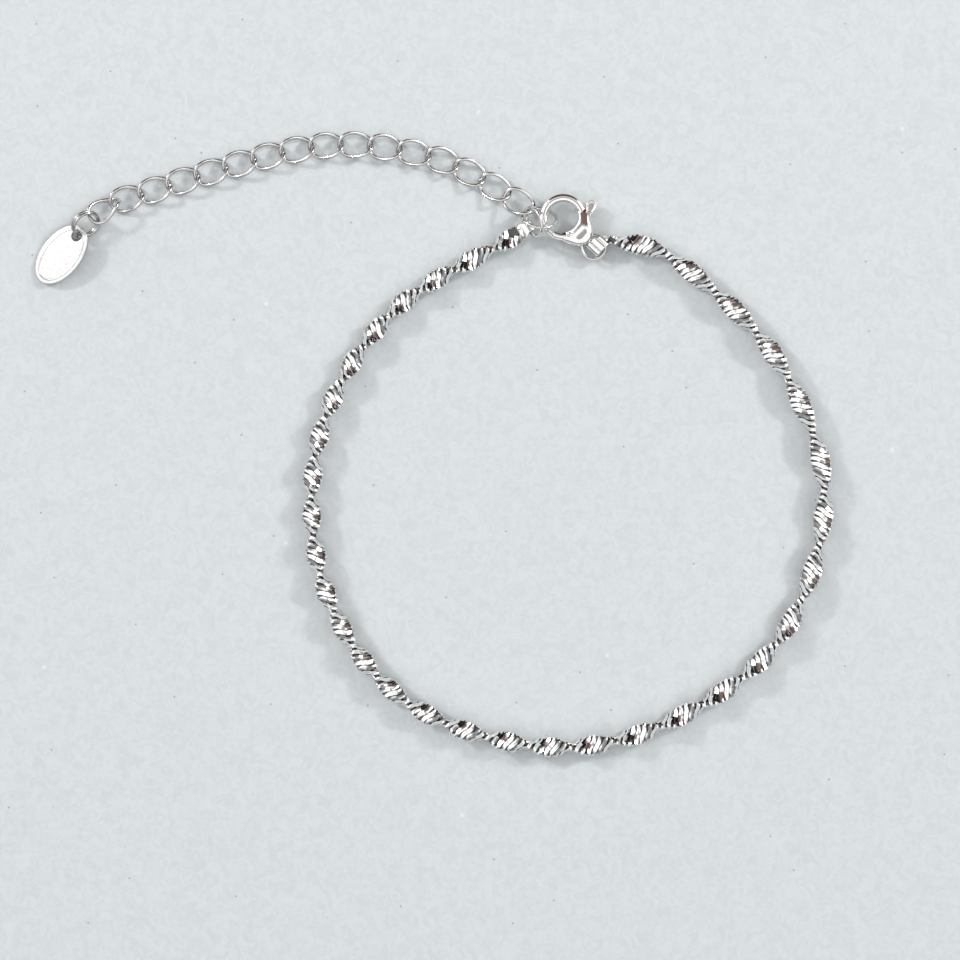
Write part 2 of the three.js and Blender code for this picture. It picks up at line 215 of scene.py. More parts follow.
def fit_piece(name, mesh, material, nodes, body="root", crease=None):
    """Places a finished mesh in the row frame as a piece of the bracelet. It is shaded
    smooth, but for creases sharper than the angle given in degrees."""
    mesh.transform(TO_ROW_FRAME)
    mesh.name = name
    mesh.materials.clear()
    mesh.materials.append(material)
    mesh.shade_smooth()
    if crease:
        mesh.set_sharp_from_angle(angle=math.radians(crease))
    piece = shown_object(name, mesh)
    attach(piece, body)
    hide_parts(*nodes)
    return piece


def new_tree(name, inputs):
    """A geometry tree with named inputs, and its nodes for the group's input and output."""
    tree = bpy.data.node_groups.new(name, "GeometryNodeTree")
    tree.interface.new_socket("Geometry", in_out="INPUT", socket_type="NodeSocketGeometry")
    tree.interface.new_socket("Geometry", in_out="OUTPUT", socket_type="NodeSocketGeometry")
    for socket, kind in inputs.items():
        tree.interface.new_socket(socket, in_out="INPUT", socket_type=kind)
    return tree, tree.nodes.new("NodeGroupInput").outputs, tree.nodes.new("NodeGroupOutput").inputs


def run_tree(name, mesh, tree, values):
    """The mesh that the tree makes from a source mesh and the values of its inputs."""
    source = shown_object(name, mesh)
    modifier = source.modifiers.new("nodes", "NODES")
    modifier.node_group = tree
    for socket in tree.interface.items_tree:
        if socket.in_out == "INPUT" and socket.name in values:
            modifier[socket.identifier] = values[socket.name]
    return finished_mesh(source)


def loft(rings, closed=False):
    """A closed surface through rings of points, capped at both ends or joined end to end."""
    count = len(rings[0])
    points = [point for ring in rings for point in ring]
    faces = []
    for i in range(len(rings) if closed else len(rings) - 1):
        here = i * count
        ahead = ((i + 1) % len(rings)) * count
        for j in range(count):
            k = (j + 1) % count
            faces.append((here + j, here + k, ahead + k, ahead + j))
    if not closed:
        faces.append(tuple(range(count - 1, -1, -1)))
        faces.append(tuple(range(len(points) - count, len(points))))
    mesh = bpy.data.meshes.new("loft")
    mesh.from_pydata(points, [], faces)
    shell = bmesh.new()
    shell.from_mesh(mesh)
    bmesh.ops.recalc_face_normals(shell, faces=shell.faces)
    shell.to_mesh(mesh)
    shell.free()
    return mesh


def loop_tree():
    """Bends a flat wire round one edge of a straight ribbon, repeats it down both edges,
    and lays the ribbon along its twisting path."""
    tree, given, result = new_tree("serpentine_ribbon", {
        "Loops": "NodeSocketInt", "First Loop": "NodeSocketFloat", "Pitch": "NodeSocketFloat",
        "Half Width": "NodeSocketFloat", "Half Thickness": "NodeSocketFloat",
        "Wire Width": "NodeSocketFloat", "Wire Thickness": "NodeSocketFloat",
        "Lean": "NodeSocketFloat", "Climb": "NodeSocketFloat", "Jog": "NodeSocketFloat",
        "Unevenness": "NodeSocketFloat", "Thinning": "NodeSocketFloat",
        "Silver": "NodeSocketMaterial",
    })
    # The middle line of one loop: out over one face, round the edge, back under the other.
    half_wire = calc(tree, "MULTIPLY", given["Wire Thickness"], 0.5)
    reach = calc(tree, "SUBTRACT", given["Half Width"], half_wire)
    rise = calc(tree, "SUBTRACT", given["Half Thickness"], half_wire)
    line = add_node(tree, "GeometryNodeCurvePrimitiveLine", {})
    stations = add_node(tree, "GeometryNodeResampleCurve", {
        "Curve": line.outputs["Curve"], "Count": LOOP_STATIONS,
    })
    share = add_node(tree, "GeometryNodeSplineParameter", {}).outputs["Factor"]
    turn = calc(tree, "MULTIPLY", share, math.pi)
    cosine = calc(tree, "COSINE", turn)
    face = calc(tree, "SIGN", calc(tree, "ROUND", calc(tree, "MULTIPLY", cosine, 4)))
    level = calc(tree, "POWER", calc(tree, "ABSOLUTE", cosine), LOOP_ROUNDNESS)
    height = calc(tree, "MULTIPLY", calc(tree, "MULTIPLY", level, face), rise)
    x = calc(tree, "MULTIPLY", calc(tree, "SINE", turn), reach)
    lean = calc(
        tree, "MULTIPLY", calc(tree, "SUBTRACT", reach, x), calc(tree, "TANGENT", given["Lean"])
    )
    # Near the middle of the ribbon the wire crosses steeply to the other column.
    crossing = calc(tree, "MULTIPLY", add_node(tree, "ShaderNodeMapRange", {
        "Value": x, "From Min": 0.0, "From Max": LOOP_CROSSING, "To Min": 0.5, "To Max": 0.0,
    }).outputs["Result"], given["Jog"])
    leaning = calc(tree, "MULTIPLY", calc(tree, "ADD", lean, crossing), face)
    climbing = calc(tree, "MULTIPLY", given["Climb"], calc(tree, "DIVIDE", height, rise))
    z = calc(tree, "MULTIPLY", calc(tree, "ADD", leaning, climbing), -1.0)
    bent = add_node(tree, "GeometryNodeSetPosition", {
        "Geometry": stations.outputs["Curve"],
        "Position": add_node(tree, "ShaderNodeCombineXYZ", {
            "X": x, "Y": height, "Z": z,
        }).outputs["Vector"],
    })
    upright = add_node(tree, "GeometryNodeSetCurveNormal", {
        "Curve": bent.outputs["Geometry"],
    }, mode="Z_UP")
    # The wire's section: flat, with a groove along the middle of its outer side.
    section = add_node(tree, "GeometryNodeCurvePrimitiveCircle", {
        "Resolution": len(LOOP_SECTION), "Radius": 1.0,
    })
    corner = tree.nodes.new("GeometryNodeIndexSwitch")
    corner.data_type = "VECTOR"
    for index, (outwards, along) in enumerate(LOOP_SECTION):
        if index > 1:
            corner.index_switch_items.new()
        corner.inputs[index + 1].default_value = (-outwards, along, 0)
    tree.links.new(
        add_node(tree, "GeometryNodeInputIndex", {}).outputs["Index"], corner.inputs["Index"]
    )
    shaped = add_node(tree, "GeometryNodeSetPosition", {
        "Geometry": section.outputs["Curve"],
        "Position": calc_vector(tree, "MULTIPLY", corner.outputs[0], add_node(
            tree, "ShaderNodeCombineXYZ", {
                "X": given["Wire Thickness"], "Y": given["Wire Width"],
            },
        ).outputs["Vector"]),
    })
    # The wire is drawn thinner as it is bent, which leaves gaps down the edge, dark with the
    # core's painted shade.
    near_bend = calc(tree, "POWER", calc(tree, "SINE", turn), 3.0)
    loop = add_node(tree, "GeometryNodeCurveToMesh", {
        "Curve": upright.outputs["Curve"], "Profile Curve": shaped.outputs["Geometry"],
        "Scale": calc(
            tree, "SUBTRACT", 1.0, calc(tree, "MULTIPLY", near_bend, given["Thinning"])
        ),
        "Fill Caps": True,
    })
    # The other column: the same loop, turned half a turn and joined on at the middle.
    ends_apart = calc(tree, "MULTIPLY", calc(tree, "ADD", calc(
        tree, "ADD", calc(tree, "MULTIPLY", reach, calc(tree, "TANGENT", given["Lean"])),
        calc(tree, "MULTIPLY", given["Jog"], 0.5),
    ), given["Climb"]), -2.0)
    other = add_node(tree, "GeometryNodeTransform", {
        "Geometry": loop.outputs["Mesh"], "Rotation": (0, 0, math.pi),
        "Translation": add_node(tree, "ShaderNodeCombineXYZ", {
            "Z": calc(tree, "WRAP", ends_apart, given["Pitch"], 0.0),
        }).outputs["Vector"],
    })
    pair = add_node(tree, "GeometryNodeJoinGeometry", {"Geometry": loop.outputs["Mesh"]})
    tree.links.new(other.outputs["Geometry"], pair.inputs["Geometry"])
    # The straight ribbon, each pair of loops a little out of true.
    row = add_node(tree, "GeometryNodeMeshLine", {
        "Count": given["Loops"],
        "Start Location": add_node(tree, "ShaderNodeCombineXYZ", {
            "Z": given["First Loop"],
        }).outputs["Vector"],
        "Offset": add_node(tree, "ShaderNodeCombineXYZ", {"Z": given["Pitch"]}).outputs["Vector"],
    })
    most = add_node(tree, "ShaderNodeCombineXYZ", {
        "X": given["Unevenness"], "Y": given["Unevenness"], "Z": given["Unevenness"],
    }).outputs["Vector"]
    least = calc_vector(tree, "MULTIPLY", most, (-1, -1, -1))
    wobble = add_node(tree, "FunctionNodeRandomValue", {
        0: least, 1: most, "Seed": 7,
    }, data_type="FLOAT_VECTOR")
    loops = add_node(tree, "GeometryNodeInstanceOnPoints", {
        "Points": row.outputs["Mesh"], "Instance": pair.outputs["Geometry"],
        "Rotation": add_node(tree, "FunctionNodeEulerToRotation", {
            "Euler": wobble.outputs[0],
        }).outputs["Rotation"],
    })
    straight = add_node(tree, "GeometryNodeRealizeInstances", {
        "Geometry": loops.outputs["Instances"],
    })
    # Height in the straight ribbon becomes length along the path.
    path = add_node(tree, "GeometryNodeMeshToCurve", {"Mesh": given["Geometry"]})
    tilted = add_node(tree, "GeometryNodeSetCurveTilt", {
        "Curve": path.outputs["Curve"],
        "Tilt": add_node(tree, "GeometryNodeInputNamedAttribute", {
            "Name": "turn",
        }, data_type="FLOAT").outputs["Attribute"],
    })
    level_path = add_node(tree, "GeometryNodeSetCurveNormal", {
        "Curve": tilted.outputs["Curve"],
    }, mode="Z_UP")
    place = add_node(tree, "ShaderNodeSeparateXYZ", {
        "Vector": add_node(tree, "GeometryNodeInputPosition", {}).outputs["Position"],
    }).outputs
    there = add_node(tree, "GeometryNodeSampleCurve", {
        "Curves": level_path.outputs["Curve"], "Length": place["Z"],
    }, mode="LENGTH").outputs
    # A level curve's normal points to the right of its path, so it is the way across
    # turned round.
    through = calc_vector(tree, "CROSS_PRODUCT", there["Normal"], there["Tangent"])
    sideways = add_node(tree, "ShaderNodeVectorMath", {
        0: there["Normal"], "Scale": calc(tree, "MULTIPLY", place["X"], -1.0),
    }, operation="SCALE").outputs[0]
    upwards = add_node(tree, "ShaderNodeVectorMath", {
        0: through, "Scale": place["Y"],
    }, operation="SCALE").outputs[0]
    offset = calc_vector(tree, "ADD", sideways, upwards)
    twisted = add_node(tree, "GeometryNodeSetPosition", {
        "Geometry": straight.outputs["Geometry"],
        "Position": calc_vector(tree, "ADD", there["Position"], offset),
    })
    finished = add_node(tree, "GeometryNodeRealizeInstances", {
        "Geometry": twisted.outputs["Geometry"],
    })
    silvered = add_node(tree, "GeometryNodeSetMaterial", {
        "Geometry": finished.outputs["Geometry"], "Material": given["Silver"],
    })
    tree.links.new(silvered.outputs["Geometry"], result["Geometry"])
    return tree


chain_silver = polished_silver(
    "chain_silver", (0.93, 0.925, 0.92), roughness=0.09, scratch_depth=0.15, tarnish=0.25
)
chain_path = smooth_path(CHAIN_CORNERS)
chain_length = chain_path[1][-1]
path_mesh = bpy.data.meshes.new("chain_path")
path_mesh.from_pydata(
    [(point.x, point.y, CHAIN_HALF_WIDTH) for point in chain_path[0]],
    [(i, i + 1) for i in range(len(chain_path[0]) - 1)], [],
)
turns = path_mesh.attributes.new("turn", "FLOAT", "POINT")
turns.data.foreach_set("value", [turn_at(length) for length in chain_path[1]])
looped_length = chain_length - CHAIN_START - CHAIN_END - 2 * LOOP_GRIP
loop_count = round(looped_length / LOOP_PITCH)
chain_loops = run_tree("loops", path_mesh, loop_tree(), {
    "Loops": loop_count, "First Loop": CHAIN_START + LOOP_GRIP,
    "Pitch": looped_length / loop_count, "Half Width": LOOP_REACH,
    "Half Thickness": CHAIN_HALF_THICKNESS, "Wire Width": LOOP_WIDTH,
    "Wire Thickness": LOOP_THICKNESS, "Lean": math.radians(LOOP_LEAN), "Climb": LOOP_CLIMB,
    "Jog": LOOP_JOG, "Unevenness": math.radians(LOOP_UNEVENNESS), "Thinning": LOOP_THINNING,
    "Silver": chain_silver,
})
fit_piece(
    "twisted_chain_loops", chain_loops, chain_silver, ["twisted_chain"], crease=30,
)

# The loops' hidden bends fill the middle of the ribbon. Their near-black colour is painted shade,
# standing in for the shade deep between the loops.
CORE_HALF_WIDTH = 0.84
CORE_HALF_THICKNESS = 0.17
CORE_STEPS_PER_LOOP = 4
painted_shade_core_silver = polished_silver(
    "painted_shade_core", (0.12, 0.115, 0.11), roughness=0.4, scratch_depth=0.6, tarnish=0.5
)


def bar_section(centre, across, half_width, through, half_thickness):
    """The four corners of a flat bar's section."""
    return [
        centre + across * (a * half_width) + through * (t * half_thickness)
        for a, t in ((1, -1), (1, 1), (-1, 1), (-1, -1))
    ]


core_rings = []
core_steps = CORE_STEPS_PER_LOOP * loop_count
for step in range(core_steps + 1):
    length = CHAIN_START + (chain_length - CHAIN_START - CHAIN_END) * step / core_steps
    centre, along, across, through = ribbon_frame(chain_path, length)
    core_rings.append(
        bar_section(centre, across, CORE_HALF_WIDTH, through, CORE_HALF_THICKNESS)
    )
# The core's near-black colour is painted shade between the loops.
fit_piece(
    "twisted_chain_core", loft(core_rings), painted_shade_core_silver, ["twisted_chain"],
    crease=30,
)


# ---- End caps -------------------------------------------------------------------------
# A strip of silver sheet folded over a ring's wire, its flaps closed on the ribbon's end
# and soldered there. The left cap lies flat, and the right one stands level with the clasp.
SHEET = 0.2
NECK_GAP = 0.05  # between the neck and the ribbon's end
NECK_HALF_WIDTH = 0.78  # where it holds the ribbon, behind the first loops
NECK_HALF_THICKNESS = 0.3
NECK_OVERLAP = 0.1  # how far the neck reaches in between the flaps
NECK_INSET = 0.05  # from the flaps' edges to the neck's
NECK_STEPS = 8
FOLD_RISE = 0.5  # from the ring's wire to the middle of the sheet round it
FLAP_STEPS = 10
LEFT_CAP_X, LEFT_CAP_Y, LEFT_CAP_HEADING = 10.34, 22.788, 32
RIGHT_CAP_X, RIGHT_CAP_Y = 17.565, 20.898
CLASP_Z = 1.05
CLASP_HEADING = -42.58
cap_silver = polished_silver(
    "cap_silver", (0.9, 0.89, 0.88), roughness=0.09, scratch_depth=0.05, tarnish=0.3
)


def folded_strip(flap, slack, closed, crown, fold_edges, root_edges):
    """A strip folded in a U about a line along X, both flaps running to +Y. The slack is
    how far the fold stands clear of the ring's wire, and the crown how far the middle of a
    flap stands out. `closed` is half the gap left between the flaps' ends. The edges give
    the strip's reach along X at the fold and at the flaps' ends."""
    upper = []
    for step in range(FLAP_STEPS + 1):
        share = step / FLAP_STEPS
        rise = FOLD_RISE + (closed - FOLD_RISE) * share**2 + crown * math.sin(math.pi * share)
        edges = tuple(a + (b - a) * share**2 for a, b in zip(fold_edges, root_edges))
        upper.append((flap * share - slack * (1 - share), rise, edges))
    fold = []
    for angle in range(-100, -270, -10):
        turn = math.radians(angle)
        fold.append((FOLD_RISE * math.cos(turn) - slack, FOLD_RISE * math.sin(turn), fold_edges))
    rows = [(y, -z, edges) for y, z, edges in upper[::-1]] + fold + upper
    rings = []
    for i, (y, z, (low, high)) in enumerate(rows):
        ahead = rows[min(i + 1, len(rows) - 1)]
        behind = rows[max(i - 1, 0)]
        along = Vector((0, ahead[0] - behind[0], ahead[1] - behind[1])).normalized()
        outwards = Vector((0, -along.z, along.y))
        rings.append([
            Vector((x, y, z)) + outwards * out
            for x, out in (
                (low, -SHEET / 2), (low, SHEET / 2), (high, SHEET / 2), (high, -SHEET / 2),
            )
        ])
    return loft(rings)


def joined(meshes):
    """Several meshes as one."""
    points = []
    faces = []
    for mesh in meshes:
        start = len(points)
        points += [vertex.co.copy() for vertex in mesh.vertices]
        faces += [tuple(start + index for index in face.vertices) for face in mesh.polygons]
    together = bpy.data.meshes.new("joined")
    together.from_pydata(points, [], faces)
    return together


def cast_in_one(meshes, grain, polishing):
    """Runs closed shapes that overlap into one skin, and polishes its edges round."""
    blank = shown_object("casting", joined(meshes))
    skin = blank.modifiers.new("skin", "REMESH")
    skin.mode = "VOXEL"
    skin.voxel_size = grain
    polish = blank.modifiers.new("polish", "SMOOTH")
    polish.factor = 0.5
    polish.iterations = polishing
    return finished_mesh(blank)


def end_cap(name, flap, slack, closed, crown, fold_edges, root_edges, place, chain_end, outward):
    """A folded strip, and the neck that grips the ribbon. `place` puts the strip in the
    bracelet. `outward` is 1 where the chain runs to the cap, and -1 where it runs away."""
    strip = folded_strip(flap, slack, closed, crown, fold_edges, root_edges)
    strip.transform(place)
    centre, along, across, through = chain_end
    root_centre = place @ Vector((sum(root_edges) / 2, flap - NECK_OVERLAP, 0))
    root_across = (place.to_3x3() @ Vector((-1, 0, 0))).normalized()
    side = -1 if root_across.dot(across) < 0 else 1
    root = bar_section(
        root_centre, root_across, (root_edges[1] - root_edges[0]) / 2 - NECK_INSET, UP,
        closed + SHEET / 2,
    )
    grip = bar_section(
        centre + along * (outward * NECK_GAP), across * side, NECK_HALF_WIDTH,
        through * (-outward * side), NECK_HALF_THICKNESS,
    )
    neck = []
    for step in range(NECK_STEPS + 1):
        neck.append([here.lerp(there, step / NECK_STEPS) for here, there in zip(root, grip)])
    cap_mesh = cast_in_one([strip, loft(neck)], grain=0.04, polishing=4)
    fit_piece(f"{name}_strip", cap_mesh, cap_silver, [name])


end_cap(
    "end_cap_left", flap=0.75, slack=0.0, closed=0.25, crown=0.0,
    fold_edges=(-0.5, 0.5), root_edges=(-0.9, 0.9),
    place=Matrix.Translation((LEFT_CAP_X, LEFT_CAP_Y, CHAIN_HALF_WIDTH))
    @ Matrix.Rotation(math.radians(LEFT_CAP_HEADING + 90), 4, "Z"),
    chain_end=ribbon_frame(chain_path, chain_length - CHAIN_END), outward=1,
)
end_cap(
    "end_cap_right", flap=1.25, slack=0.38, closed=0.16, crown=0.38,
    fold_edges=(-0.8, 0.72), root_edges=(-0.1, 0.82),
    place=Matrix.Translation((RIGHT_CAP_X, RIGHT_CAP_Y, CLASP_Z))
    @ Matrix.Rotation(math.radians(CLASP_HEADING), 4, "Z"),
    chain_end=ribbon_frame(chain_path, CHAIN_START), outward=-1,
)


# ---- Jump rings -----------------------------------------------------------------------
# Round rings of drawn silver wire, closed and soldered. The tag's ring is wound twice
# round from a thinner wire. Each lies in a plane tipped about a level line.
RINGS = {  # x, y, z, heading of the level line and tilt about it, mean radius, wire
    "extension_ring": (10.873, 23.218, 2.415, -72.1, 65.3, 1.55, 0.4),
    "hook_ring": (11.453, 23.719, 1.647, -8.3, 128.6, 1.85, 0.4),
    "clasp_ring": (17.14, 20.71, 1.05, 0, 0, 1.24, 0.38),
}
TAG_RING = (-35.976, 23.091, 1.405, 41.3, 53, 1.42, 0.34)
COIL_STEP = 4.0  # how shortly the tag ring's two turns change sides
COIL_START = 70  # degrees, half a turn before the place where they do
COIL_SIDES = 12
RING_STEPS = 72
WIRE_SIDES = 16
wire_silver = polished_silver(
    "wire_silver", (0.72, 0.71, 0.7), roughness=0.1, scratch_depth=0.04, tarnish=0.25
)
coil_silver = polished_silver(
    "coil_silver", (0.5, 0.49, 0.475), roughness=0.15, scratch_depth=0.06, tarnish=0.45
)


def wire_mesh(centres, wire, sides):
    """A round wire along a closed row of points that goes round their middle."""
    middle = sum(centres, Vector()) / len(centres)
    rings = []
    for i, centre in enumerate(centres):
        along = (centres[(i + 1) % len(centres)] - centres[i - 1]).normalized()
        outward = centre - middle
        outward = (outward - along * along.dot(outward)).normalized()
        side = along.cross(outward)
        turns = [2 * math.pi * (j + 0.5) / sides for j in range(sides)]
        rings.append([
            centre + (outward * math.cos(turn) + side * math.sin(turn)) * (wire / 2)
            for turn in turns
        ])
    return loft(rings, closed=True)


def ring_place(x, y, z, heading, tilt):
    """Where a ring's own frame stands, tipped by `tilt` about the line at `heading`."""
    level = Vector((math.cos(math.radians(heading)), math.sin(math.radians(heading)), 0))
    return Matrix.Translation((x, y, z)) @ Matrix.Rotation(math.radians(tilt), 4, level)


for name, (x, y, z, heading, tilt, mean, wire) in RINGS.items():
    turns = [2 * math.pi * step / RING_STEPS for step in range(RING_STEPS)]
    circle = [Vector((mean * math.cos(turn), mean * math.sin(turn), 0)) for turn in turns]
    ring_mesh = wire_mesh(circle, wire, WIRE_SIDES)
    ring_mesh.transform(ring_place(x, y, z, heading, tilt))
    fit_piece(f"{name}_wire", ring_mesh, wire_silver, [name])

x, y, z, heading, tilt, mean, wire = TAG_RING
coil = []
for step in range(2 * RING_STEPS):
    turn = 2 * math.pi * step / RING_STEPS
    beside = math.tanh(COIL_STEP * math.cos(turn / 2))
    lift = wire * 0.5 * beside
    radius = mean + wire * 0.5 * math.sin(turn / 2) * (1 - beside * beside)
    place = turn + math.radians(COIL_START)
    coil.append(Vector((radius * math.cos(place), radius * math.sin(place), lift)))
coil_mesh = wire_mesh(coil, wire, COIL_SIDES)
coil_mesh.transform(ring_place(x, y, z, heading, tilt))
fit_piece("tag_ring_wire", coil_mesh, coil_silver, ["tag_ring"])


# ---- Clasp body -----------------------------------------------------------------------
# The cast body of a lobster clasp: a rounded shield with an open hook, slotted from side to
# side for its lever and bored across the tail for its ring. The lever's pin is riveted in it.
CLASP_X = 13.965
CLASP_Y = 23.867
HOOP_MEAN = 2.04
HOOP_HALF_WIDTH = 0.47
HOOP_HALF_HEIGHT = 0.42
HOOP_SIDES = 32
HOOP_STEP = 5  # degrees
GROOVE_HALF_WIDTH = 0.09
ARM_ARC = (-66, 182)  # degrees round the hook, from the clasp's axis
BEAK_ARC = (175, 255)
HORN_ARC = (-83, -35)
HORN_HALF_HEIGHT = 0.68
BODY_HALF_THICKNESS = 1.0
BODY_STATIONS = [  # x, lowest y, highest y, share of the full thickness
    (0.5, -2.42, 2.43, 0.16), (0.8, -2.34, 2.37, 0.32), (1.1, -2.2, 2.28, 0.48),
    (1.45, -2.02, 2.2, 0.65), (1.8, -1.86, 2.02, 0.8),
    (2.1, -1.74, 1.82, 0.9), (2.4, -1.62, 1.62, 0.96), (2.7, -1.5, 1.44, 0.99),
    (2.95, -1.36, 1.29, 0.98), (3.15, -1.2, 1.15, 0.95), (3.35, -1.02, 0.99, 0.9),
    (3.52, -0.84, 0.82, 0.84), (3.68, -0.62, 0.62, 0.74), (3.8, -0.4, 0.4, 0.58),
    (3.87, -0.15, 0.15, 0.36),
]
SLOT_OUTLINE = [
    (-0.6, -3.2), (2.0, -3.2), (2.6, -1.6), (2.95, -0.2), (3.0, 1.2), (3.0, 3.6), (1.42, 3.6),
    (1.42, 1.2), (1.15, 0.6), (1.15, -0.6),
]
SLOT_HEIGHT = 0.9
TAIL_HOLE_X = 3.21
TAIL_HOLE_RADIUS = 0.5
PIN_X = 1.75
PIN_Y = -1.0
PIN_RADIUS = 0.2
GATE_REACH = 2.66  # from the pin to the gate's end
GATE_GAP = 0.07
SHOULDER_RADIUS = 1.62  # the shield is cut round inside the hook
SHIELD_SIDES = 40
SHIELD_SIDE_ROUNDNESS = 0.6  # 1 would be round, and less is boxier
SHIELD_FACE_ROUNDNESS = 0.55
CLASP_PLACE = Matrix.Translation((CLASP_X, CLASP_Y, CLASP_Z)) @ Matrix.Rotation(
    math.radians(CLASP_HEADING), 4, "Z"
)
clasp_silver = polished_silver(
    "clasp_silver", (0.9, 0.89, 0.88), roughness=0.06, scratch_depth=0.03, tarnish=0.2
)


def hoop_arc(start, end, half_width, half_height, mean=HOOP_MEAN, groove=0.0):
    """A stretch of the hook's wire from one angle to another, with an oval section. Its
    ends are drawn in a little, and a groove may run along its top and underside."""
    rings = []
    steps = math.ceil((end - start) / HOOP_STEP)
    for i in range(steps + 1):
        turn = math.radians(start + (end - start) * i / steps)
        outward = Vector((math.cos(turn), math.sin(turn), 0))
        drawn = 0.8 if i in (0, steps) else 1.0
        ring = []
        for j in range(HOOP_SIDES):
            around = 2 * math.pi * j / HOOP_SIDES
            x = half_width * drawn * math.cos(around)
            dent = 1 - groove * math.exp(-((x / GROOVE_HALF_WIDTH) ** 2))
            z = half_height * drawn * math.sin(around) * dent
            ring.append(outward * (mean + x) + UP * z)
        rings.append(ring)
    return loft(rings)


def round_bar(radius, length, x=0.0, y=0.0, sides=48):
    """A bar about the Z axis, its middle at the given place."""
    turns = [2 * math.pi * j / sides for j in range(sides)]
    return loft([
        [Vector((x + radius * math.cos(t), y + radius * math.sin(t), z)) for t in turns]
        for z in (-length / 2, length / 2)
    ])


def prism(outline, thickness):
    """A flat plate with square edges, its middle plane at z = 0."""
    return loft([[Vector((x, y, z)) for x, y in outline] for z in (-thickness / 2, thickness / 2)])


def machined(mesh, tool, operation="DIFFERENCE"):
    """The mesh with a tool's shape cut away from it, or with only what lies in the tool."""
    blank = shown_object("blank", mesh)
    cutter = shown_object("cutter", tool)
    cut = blank.modifiers.new("cut", "BOOLEAN")
    cut.object = cutter
    cut.operation = operation
    cut.solver = "EXACT"
    result = finished_mesh(blank)
    bpy.data.objects.remove(cutter)
    return result


shield = []
for x, low, high, share in BODY_STATIONS:
    ring = []
    for j in range(SHIELD_SIDES):
        around = 2 * math.pi * j / SHIELD_SIDES
        out = math.copysign(abs(math.cos(around)) ** SHIELD_SIDE_ROUNDNESS, math.cos(around))
        up = math.copysign(abs(math.sin(around)) ** SHIELD_FACE_ROUNDNESS, math.sin(around))
        ring.append(Vector((
            x, (low + high) / 2 + out * (high - low) / 2, up * share * BODY_HALF_THICKNESS,
        )))
    shield.append(ring)
shoulders = machined(loft(shield), round_bar(SHOULDER_RADIUS, 3))
horn = hoop_arc(*HORN_ARC, HOOP_HALF_WIDTH, HORN_HALF_HEIGHT)
beak = machined(
    hoop_arc(*BEAK_ARC, HOOP_HALF_WIDTH, HOOP_HALF_HEIGHT),
    round_bar(GATE_REACH + GATE_GAP, 4, PIN_X, PIN_Y, sides=96),
)
arm = hoop_arc(*ARM_ARC, HOOP_HALF_WIDTH, HOOP_HALF_HEIGHT)
casting = cast_in_one([shoulders, horn, arm, beak], grain=0.05, polishing=6)
# The bore comes before the slot, which would leave two thin walls to be cut at once.
tail_bore = round_bar(TAIL_HOLE_RADIUS, 4.2)
tail_bore.transform(
    Matrix.Translation((TAIL_HOLE_X, 0, 0)) @ Matrix.Rotation(math.pi / 2, 4, "X")
)
casting = machined(casting, tail_bore)
casting = machined(casting, prism(SLOT_OUTLINE, SLOT_HEIGHT))
pin = round_bar(PIN_RADIUS, 2 * BODY_HALF_THICKNESS - 0.1, PIN_X, PIN_Y)
clasp_mesh = cast_in_one([casting, pin], grain=0.04, polishing=6)
clasp_mesh.transform(CLASP_PLACE)
fit_piece("clasp_body_casting", clasp_mesh, clasp_silver, ["clasp_body"])


# ---- Clasp lever ----------------------------------------------------------------------
# The sprung lever: a gate that closes the hook, with a groove along it, an arm through the
# body that turns on the pin, and a thumb tab with a raised rim beside the hook.
LEVER_OUTLINE = [
    (0.35, -2.25), (0.95, -2.12), (1.55, -1.72), (2.2, -1.35), (2.38, -0.8), (2.4, 0.3),
    (2.2, 1.3), (2.08, 2.0), (1.8, 2.3), (1.5, 2.2), (1.55, 1.5), (1.68, 1.1), (1.76, 0.5),
    (1.74, -0.1), (1.5, -0.75), (1.12, -1.2), (0.75, -1.46), (0.35, -1.6),
]
TAB_OUTLINE = [
    (1.92, 1.6), (1.93, 2.1), (1.9, 2.5), (1.86, 2.9), (1.66, 3.24), (1.38, 3.36), (1.12, 3.28),
    (0.95, 3.02), (0.9, 2.74), (1.04, 2.48), (1.24, 2.24), (1.42, 2.0), (1.6, 1.6),
]
TAB_RIM = 0.24
TAB_THICKNESS = 0.3
LEVER_THICKNESS = 0.7
GATE_MEAN = 2.12  # the gate keeps clear of the ring in the hook when it opens
GATE_HALF_WIDTH = 0.37
GATE_HALF_HEIGHT = 0.4
GATE_ARC = (221, 292)
GATE_GROOVE = 0.4  # share of its height
LEVER_PIN_HOLE = 0.27
gate = machined(
    hoop_arc(*GATE_ARC, GATE_HALF_WIDTH, GATE_HALF_HEIGHT, GATE_MEAN, GATE_GROOVE),
    round_bar(GATE_REACH, 4, PIN_X, PIN_Y, sides=96), "INTERSECT",
)
lever_plate = machined(
    prism(LEVER_OUTLINE, LEVER_THICKNESS), round_bar(LEVER_PIN_HOLE, 3, PIN_X, PIN_Y)
)
tab_edge = smooth_path([*TAB_OUTLINE, TAB_OUTLINE[0]], 4)[0][:-1]
tab_rim = wire_mesh(tab_edge, TAB_RIM, sides=12)
tab_rim.transform(Matrix.Scale(LEVER_THICKNESS / TAB_RIM, 4, UP))
lever_mesh = cast_in_one(
    [lever_plate, prism([point.xy for point in tab_edge], TAB_THICKNESS), tab_rim, gate],
    grain=0.04, polishing=5,
)
lever_mesh.transform(CLASP_PLACE)
fit_piece(
    "clasp_lever_stamping", lever_mesh, clasp_silver, ["clasp_lever"],
    body="lever",
)


